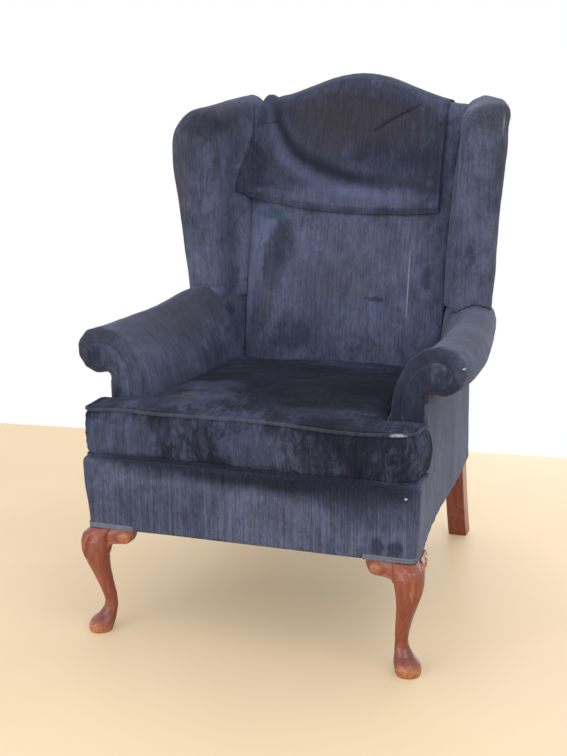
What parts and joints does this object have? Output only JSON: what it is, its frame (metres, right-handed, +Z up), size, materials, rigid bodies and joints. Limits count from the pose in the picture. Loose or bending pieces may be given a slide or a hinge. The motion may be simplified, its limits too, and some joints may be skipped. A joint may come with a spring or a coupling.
{
  "type": "wingback armchair",
  "caption": "Upholstered wingback armchair with rolled arms, splayed wings, a loose T-shaped seat cushion, a loose head cover, cabriole front legs and raked rear legs.",
  "frame": {"origin": "on the floor, at the centre of the bounding box in plan", "axes": "+X to the right as seen from the front, +Y to the rear, +Z up"},
  "size_m": [0.7814, 0.857, 1.0561],
  "materials": {
    "mahogany": "semi-gloss polish, worn to amber at the feet and ear balls",
    "beech": "raw sawn",
    "jute": "coarse woven webbing",
    "spring_steel": "bare wire",
    "deck_cloth": "plain weave",
    "dust_cloth": "thin plain weave",
    "gimp": "braided edging",
    "outside_velvet": "ribbed cut-pile velvet",
    "arm_velvet": "ribbed cut-pile velvet, crushed",
    "back_velvet": "ribbed cut-pile velvet, crushed and soiled",
    "facing_velvet": "ribbed cut-pile velvet, dark",
    "cushion_velvet": "ribbed cut-pile velvet, worn",
    "cushion_piping": "velvet over cord",
    "head_cloth": "ribbed cut-pile velvet, soiled"
  },
  "bodies": {
    "chair": {"front_seat_rail": "beech", "rear_seat_rail": "beech", "side_seat_rail_right": "beech", "side_seat_rail_left": "beech", "front_corner_block_right": "beech", "front_corner_block_left": "beech", "rear_corner_block_right": "beech", "rear_corner_block_left": "beech", "rear_leg_and_stile_right": "mahogany", "rear_leg_and_stile_left": "mahogany", "front_leg_right": "mahogany", "front_leg_left": "mahogany", "front_knee_ear_right": "mahogany", "front_knee_ear_left": "mahogany", "side_knee_ear_right": "mahogany", "side_knee_ear_left": "mahogany", "arm_post_right": "beech", "arm_post_left": "beech", "arm_rail_right": "beech", "arm_rail_left": "beech", "wing_post_right": "beech", "wing_post_left": "beech", "wing_top_rail_right": "beech", "wing_top_rail_left": "beech", "back_top_rail": "beech", "back_lower_rail": "beech", "back_webbing_1": "jute", "back_webbing_2": "jute", "back_webbing_3": "jute", "seat_spring_1": "spring_steel", "seat_spring_2": "spring_steel", "seat_spring_3": "spring_steel", "seat_spring_4": "spring_steel", "seat_deck": "deck_cloth", "dust_cover": "dust_cloth", "front_border": "outside_velvet", "gimp_right": "gimp", "gimp_left": "gimp", "outside_arm_right": "outside_velvet", "outside_arm_left": "outside_velvet", "outside_wing_right": "outside_velvet", "outside_wing_left": "outside_velvet", "outside_back": "outside_velvet", "inside_arm_right": "arm_velvet", "inside_arm_left": "arm_velvet", "arm_facing_right": "facing_velvet", "arm_facing_left": "facing_velvet", "inside_wing_right": "arm_velvet", "inside_wing_left": "arm_velvet", "inside_back": "back_velvet"},
    "cushion": {"seat_cushion": "cushion_velvet", "cushion_piping_top": "cushion_piping", "cushion_piping_bottom": "cushion_piping"},
    "cover": {"head_cover": "head_cloth"}
  },
  "joints": [
    {"name": "cushion_lift", "type": "slide", "parent": "chair", "child": "cushion", "axis": [0, 0, 1], "range_m": [0, 0.3]},
    {"name": "cover_lift", "type": "slide", "parent": "chair", "child": "cover", "axis": [0, 0, 1], "range_m": [0, 0.34]}
  ]
}
